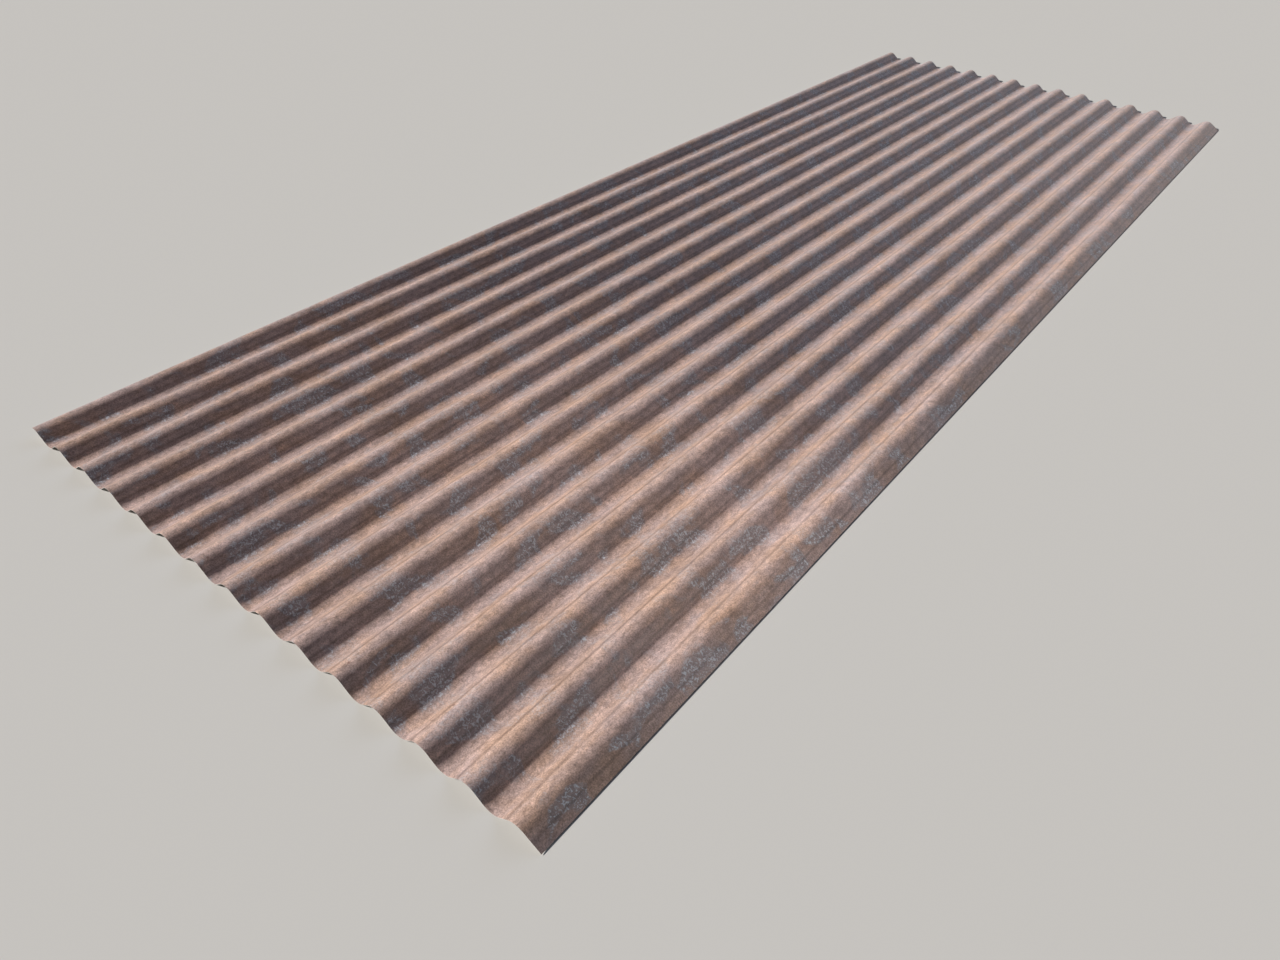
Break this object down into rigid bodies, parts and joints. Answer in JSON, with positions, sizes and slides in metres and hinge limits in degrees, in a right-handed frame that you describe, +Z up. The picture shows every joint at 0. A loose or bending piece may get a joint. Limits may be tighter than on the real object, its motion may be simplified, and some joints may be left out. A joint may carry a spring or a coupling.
{
  "type": "corrugated metal sheet",
  "caption": "Sinusoidal corrugated steel sheet for roofs and walls, with a mottled rust-brown coat, lying flat with its crests up.",
  "frame": {"origin": "middle of the sheet's footprint, on the level its valleys rest on", "axes": "+Y along the waves, +X across them, +Z up out of the crests"},
  "size_m": [1.1052, 3, 0.0185],
  "materials": {
    "rust_coat": "satin, mottled rust brown",
    "backing_coat": "matt light grey, on the underside",
    "cut_edge": "sheared zinc and steel, at the ends and long edges"
  },
  "bodies": {
    "root": {"corrugated_sheet": "rust_coat"}
  },
  "joints": []
}
